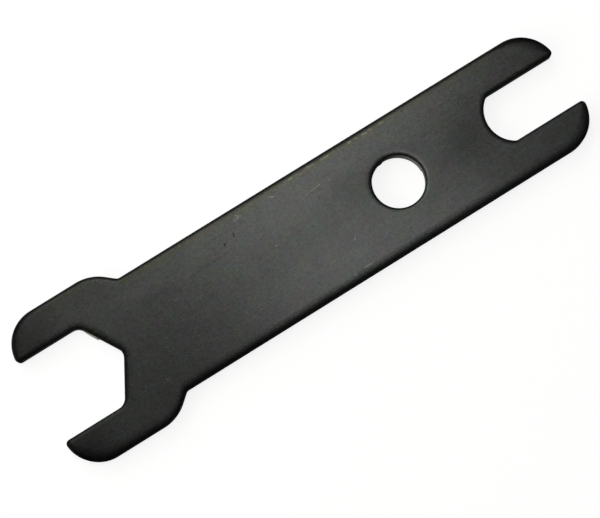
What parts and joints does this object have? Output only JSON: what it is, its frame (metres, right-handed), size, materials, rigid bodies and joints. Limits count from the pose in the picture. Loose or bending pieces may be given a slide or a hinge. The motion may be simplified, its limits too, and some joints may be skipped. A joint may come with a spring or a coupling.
{
  "type": "router wrench",
  "caption": "Flat stamped steel router wrench with an open hexagonal jaw for the collet nut, an open jaw for the spindle flats and a hanging hole.",
  "frame": {"origin": "under the middle of the plate, on the flat underside, half way between the two ends", "axes": "+X along the handle towards the spindle jaw, +Y across the handle, +Z out of the upper face, on whose side the hole's edge is rounded"},
  "size_m": [0.1636, 0.0446, 0.0032],
  "materials": {
    "black_oxide_steel": "satin black oxide on bare steel, worn a little lighter along the rim"
  },
  "bodies": {
    "root": {"wrench_plate": "black_oxide_steel"}
  },
  "joints": []
}
